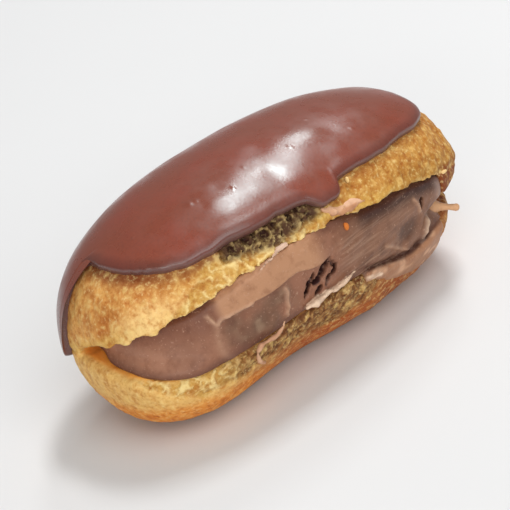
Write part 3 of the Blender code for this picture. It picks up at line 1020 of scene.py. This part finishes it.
def make_crumbs():
    points, faces, colours = [], [], []
    for place, proud, sizes, colour in CRUMBS:
        middle = hull_point(np.array([place]), proud)[0]

        def crumb(at):
            uneven = 0.3 * noise(at, 0.8, 91)
            return (np.linalg.norm((at - middle) / sizes, axis=1) - 1 + uneven) * min(sizes)

        reach = 1.6 * np.array(sizes)
        here, quads = surface_net(crumb, middle - reach, middle + reach, CRUMB_GRID)
        faces += (quads + sum(map(len, points))).tolist()
        points.append(here)
        colours.append(np.broadcast_to(shade(*colour), here.shape))
    crumbs = piece("choux_crumbs", np.concatenate(points), faces, choux_material())
    paint(crumbs, tint=np.concatenate(colours))


# ---- icing

ICING_RIDGE = 27.0  # half the length of the line along the top from which its rows run down
ICING_LIP = 0.9  # how far from the edge the lip is rounded
ICING_SUNK = 0.2  # how deep the edge sits in the bun
ICING_BACK = 0.6  # how deep the hidden inner face sits in the bun
LIP_ROWS = (0.045, 0.038, 0.03, 0.022, 0.015, 0.009, 0.004, 0.0015)  # shares of the way from the edge
BACK_ROWS = (0.97, 0.8, 0.5, 0.2)  # shares of the way from the ridge
EDGE_TURNS = 1440  # how finely the edge is followed round the bun

# Bubbles, two broad low rises and dimples, seen from above as (x, y, radius, height)
BUMPS = (
    (-10.5, -9.5, 0.4, 0.14), (-4.8, -6.6, 0.35, 0.12), (5.6, -8.4, 0.4, 0.12), (-18.6, -6.2, 0.6, 0.2),
    (-17.4, -6.6, 0.5, 0.12), (14.5, -3.4, 0.35, 0.1), (-15.5, 0.4, 0.3, 0.1), (19.0, -11.0, 0.35, 0.1),
    (-30.0, -2.0, 0.3, 0.1),
    (-15.0, -11.2, 7.0, 0.8), (9.5, -6.8, 6.0, 0.45),
    (-12.2, -7.0, 1.3, -0.1), (-2.0, -11.5, 2.6, -0.2), (8.8, -13.0, 3.0, -0.22),
    (-17.5, -8.6, 1.0, -0.07), (1.0, -4.5, 2.0, -0.1), (15.0, -9.0, 2.4, -0.12),
)


def icing_edge():
    """Points of the icing's lower edge, each on the back facing one on the front."""
    turn = np.linspace(0.0, 2 * math.pi, EDGE_TURNS + 1)
    flat = np.column_stack([HALF_LENGTH * np.cos(turn), HALF_WIDTH_LID * np.sin(turn)])
    height = through(ICING_EDGE, np.degrees(turn))
    wave = np.column_stack([flat, height])
    height = height + 0.22 * noise(wave, 4.5, 71) + 0.1 * noise(wave, 1.9, 72)
    low, high = np.full(len(turn), 0.05), np.full(len(turn), 1.2)
    for _ in range(30):
        middle = (low + high) / 2
        outside = hull_measure(np.column_stack([flat * middle[:, None], height])) > 1
        low, high = np.where(outside, low, middle), np.where(outside, middle, high)
    edge = np.column_stack([flat * low[:, None], height])
    edge[-1] = edge[0]
    half = len(edge) // 2
    stretch = np.linalg.norm(np.diff(edge, axis=0), axis=1)
    run = np.concatenate([[0.0], np.cumsum(np.hypot(stretch[:half], stretch[half:][::-1]))])
    even = np.linspace(0.0, run[-1], ICING_COLUMNS // 2 + 1)
    back = np.interp(even, run, turn[: half + 1])
    turns = np.concatenate([back, 2 * math.pi - back[-2:0:-1]])
    points = np.column_stack([np.interp(turns, turn, edge[:, k]) for k in range(3)])
    return points, turns


def icing_proud(points, from_edge):
    """Height of the icing's surface over the bun, by place and by distance from its edge."""
    bead = 0.14 * hump(from_edge, 1.7, 1.4)
    uneven = 0.2 * noise(points, 13.0, 73) + 0.06 * noise(points, 5.0, 74)
    full = ICING_LIFT + ICING_THICKNESS + bead + uneven * fade(from_edge, 0.5, 4.0)
    for x, y, radius, height in BUMPS:
        away = np.hypot(points[:, 0] - x, points[:, 1] - y)
        full = full + height * hump(away, 0.0, radius) * (points[:, 2] > 0)
    lip = np.clip(from_edge / ICING_LIP, 0.0, 1.0)
    return -ICING_SUNK + (full + ICING_SUNK) * np.sqrt(1 - (1 - lip) ** 2)


def make_icing():
    edge, turns = icing_edge()
    ridge = np.column_stack([ICING_RIDGE * np.cos(turns), 0 * turns, 0 * turns + LID_RISE])
    down = np.linalg.norm(edge - ridge, axis=1)
    shares = np.sin(np.linspace(0.02, 1.0, ICING_ROWS) * math.pi / 2)
    shares = np.unique(np.concatenate([shares[shares < 0.95], 1 - np.array(LIP_ROWS), [1.0]]))
    rows, distances = [], []
    for share in shares:
        distances.append((1 - share) * down)
        directions = ridge + (edge - ridge) * share
        base = hull_point(directions, 0.0)
        rows.append(hull_point(directions, icing_proud(base, (1 - share) * down)))
    for share in BACK_ROWS:
        rows.append(hull_point(ridge + (edge - ridge) * share, -ICING_BACK))
        distances.append(0 * down)
    points = np.concatenate(rows)
    columns = len(edge)
    here = np.arange(columns)
    there = (here + 1) % columns
    strip = np.column_stack([here + columns, there + columns, there, here])
    faces = [quad for k in range(len(rows) - 1) for quad in (strip + k * columns).tolist()]
    half = columns // 2
    for first, turned in ((0, False), ((len(rows) - 1) * columns, True)):
        loop = [(0, 1, columns - 1), (half - 1, half, half + 1)]
        loop += [(k, k + 1, columns - k - 1, columns - k) for k in range(1, half - 1)]
        for face in loop:
            face = [first + k for k in face]
            faces.append(face[::-1] if turned else face)
    from_edge = np.concatenate(distances)
    colour = layered(
        shade(128, 59, 36),
        # painted shade: darker within a few millimetres of the edge
        ((106, 49, 33), 1 - fade(from_edge, 0.8, 3.5)),
        # painted reflection: a grey-lilac line on the rounded lip
        ((104, 74, 72), 0.8 * (1 - fade(from_edge, 0.15, 0.6))),
    )
    icing = piece("glossy_icing", points, faces, icing_material())
    paint(icing, tint=colour)
    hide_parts("chocolate_icing")


# ---- camera, light and floor

CAMERA_AZIMUTH = -35.0
CAMERA_HEIGHT = 29.0  # degrees over the floor
CAMERA_ROLL = 14.9
CAMERA_DISTANCE = 600.0
FRAME_WIDTH = 100.96  # at the bun's middle
FRAME_SHIFT = (-0.0169, -0.0236)
FLOOR_SIZE = 6.0  # metres
WORLD_LIGHT = 0.30
WORLD_SEEN = 0.87


def unit(azimuth, height):
    """The direction from the middle towards this side and height, in degrees."""
    turn, rise = math.radians(azimuth), math.radians(height)
    return Vector((math.cos(turn) * math.cos(rise), math.sin(turn) * math.cos(rise), math.sin(rise)))


def make_camera():
    back = unit(CAMERA_AZIMUTH - 90, CAMERA_HEIGHT)
    right = unit(CAMERA_AZIMUTH, 0)
    up = back.cross(right)
    camera = new_object("camera", bpy.data.cameras.new("camera"))
    turn = Matrix.Rotation(-math.radians(CAMERA_ROLL), 3, "Z")
    facing = Matrix((right, up, back)).transposed() @ turn
    middle = Vector(to_floor(np.zeros((1, 3)))[0])
    camera.matrix_world = Matrix.Translation(middle + back * CAMERA_DISTANCE * MM) @ facing.to_4x4()
    camera.data.lens = camera.data.sensor_width * CAMERA_DISTANCE / FRAME_WIDTH
    camera.data.shift_x, camera.data.shift_y = FRAME_SHIFT
    bpy.context.scene.camera = camera
    bpy.context.scene.view_settings.view_transform = "Standard"


def make_light(name, azimuth, height, distance, size, power, colour=(1, 1, 1), turn=0.0):
    """A soft rectangular light, in metres and watts, facing the floor's middle from here."""
    light = bpy.data.lights.new(name, "AREA")
    light.shape = "RECTANGLE"
    light.size, light.size_y = size
    light.energy = power
    light.color = colour
    way = unit(azimuth, height)
    obj = new_object(name, light)
    obj.location = way * distance
    facing = way.to_track_quat("Z", "Y").to_matrix() @ Matrix.Rotation(math.radians(turn), 3, "Z")
    obj.rotation_euler = facing.to_euler()


def make_world():
    """Pale to look at, and a dimmer even light on the object."""
    world = bpy.data.worlds.new("studio")
    world.use_nodes = True
    tree = world.node_tree
    seen = add(tree, "LightPath").outputs["Is Camera Ray"]
    strength = add(tree, "MapRange", {"Value": seen, "To Min": WORLD_LIGHT, "To Max": WORLD_SEEN})
    background = tree.nodes["Background"]
    background.inputs["Color"].default_value = (0.97, 0.985, 1.0, 1)
    tree.links.new(strength.outputs["Result"], background.inputs["Strength"])
    bpy.context.scene.world = world


def make_floor():
    material, tree, shader = blank_material("pale_floor")
    cloudy = grain(tree, 90.0, 2.0)
    pale = tinted(tree, (0.72, 0.72, 0.72, 1), cloudy, (0.74, 0.74, 0.74, 1))
    tree.links.new(pale, shader.inputs["Base Color"])
    shader.inputs["Roughness"].default_value = 0.8
    half = FLOOR_SIZE / 2
    corners = [(-half, -half, 0), (half, -half, 0), (half, half, 0), (-half, half, 0)]
    floor = new_mesh("floor", corners, [(0, 1, 2, 3)], material)


make_camera()
make_world()
make_light("key", 16, 66, 0.7, (0.11, 0.2), 2.3, turn=53)
make_light("side_key", 34, 46, 0.7, (0.08, 0.14), 0.7, turn=53)
make_light("front_fill", -100, 48, 1.0, (0.9, 0.9), 5.2)
make_light("low_fill", -140, 14, 0.9, (0.5, 0.5), 2.8, (1.0, 0.97, 0.93))
make_floor()
make_bun()
make_cream()
make_crumbs()
make_icing()
